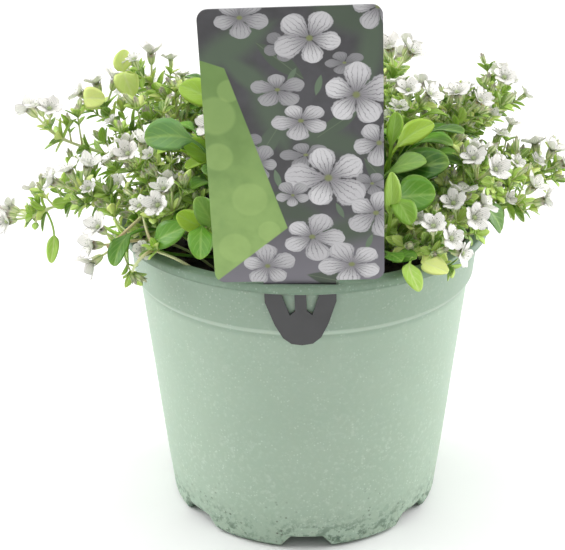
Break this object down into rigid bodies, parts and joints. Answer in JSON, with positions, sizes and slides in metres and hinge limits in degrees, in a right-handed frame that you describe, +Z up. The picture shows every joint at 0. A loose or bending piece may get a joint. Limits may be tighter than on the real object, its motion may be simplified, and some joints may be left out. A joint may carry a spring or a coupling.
{
  "type": "potted flowering plant",
  "caption": "Low mound of leafy stems with small white five-petalled flowers in a round tapered plastic nursery pot with a picture label.",
  "frame": {"origin": "centre of the pot's flat underside, which rests on the surface", "axes": "+Z up along the pot's axis; the label faces -Y; +X is to the right seen from the label's side"},
  "size_m": [0.1886, 0.1523, 0.1818],
  "materials": {
    "pot": "satin, pale sage green, with fine pale flecks and soil dust at the foot",
    "soil": "rough, moist dark peat and bark",
    "label": "semi-gloss printed sheet, charcoal with pale flowers and a fresh green corner",
    "foliage": "matte fresh green, slightly hairy",
    "basal_leaves": "soft sheen, mid green with a paler midrib",
    "petals": "matte white with fine grey-lilac veins"
  },
  "bodies": {
    "root": {"basal_leaves_01": "basal_leaves", "basal_leaves_02": "basal_leaves", "basal_leaves_03": "basal_leaves", "basal_leaves_04": "basal_leaves", "basal_leaves_05": "basal_leaves", "flower_head_01": "petals", "flower_head_02": "petals", "flower_head_03": "petals", "flower_head_04": "petals", "flower_head_05": "petals", "flower_head_06": "petals", "flower_head_07": "petals", "flower_head_08": "petals", "flower_head_09": "petals", "flower_head_10": "petals", "flower_head_11": "petals", "flower_head_12": "petals", "flower_head_13": "petals", "flower_head_14": "petals", "flower_head_15": "petals", "flower_head_16": "petals", "flower_head_17": "petals", "flower_head_18": "petals", "flower_head_19": "petals", "flower_head_20": "petals", "flower_head_21": "petals", "flower_head_22": "petals", "flower_head_23": "petals", "flower_head_24": "petals", "flower_head_25": "petals", "flower_head_26": "petals", "label": "label", "leafy_stem_01": "foliage", "leafy_stem_02": "foliage", "leafy_stem_03": "foliage", "leafy_stem_04": "foliage", "leafy_stem_05": "foliage", "leafy_stem_06": "foliage", "leafy_stem_07": "foliage", "leafy_stem_08": "foliage", "leafy_stem_09": "foliage", "leafy_stem_10": "foliage", "leafy_stem_11": "foliage", "leafy_stem_12": "foliage", "leafy_stem_13": "foliage", "leafy_stem_14": "foliage", "leafy_stem_15": "foliage", "leafy_stem_16": "foliage", "leafy_stem_17": "foliage", "leafy_stem_18": "foliage", "leafy_stem_19": "foliage", "leafy_stem_20": "foliage", "leafy_stem_21": "foliage", "leafy_stem_22": "foliage", "leafy_stem_23": "foliage", "leafy_stem_24": "foliage", "leafy_stem_25": "foliage", "leafy_stem_26": "foliage", "pot": "pot", "soil": "soil"}
  },
  "joints": []
}
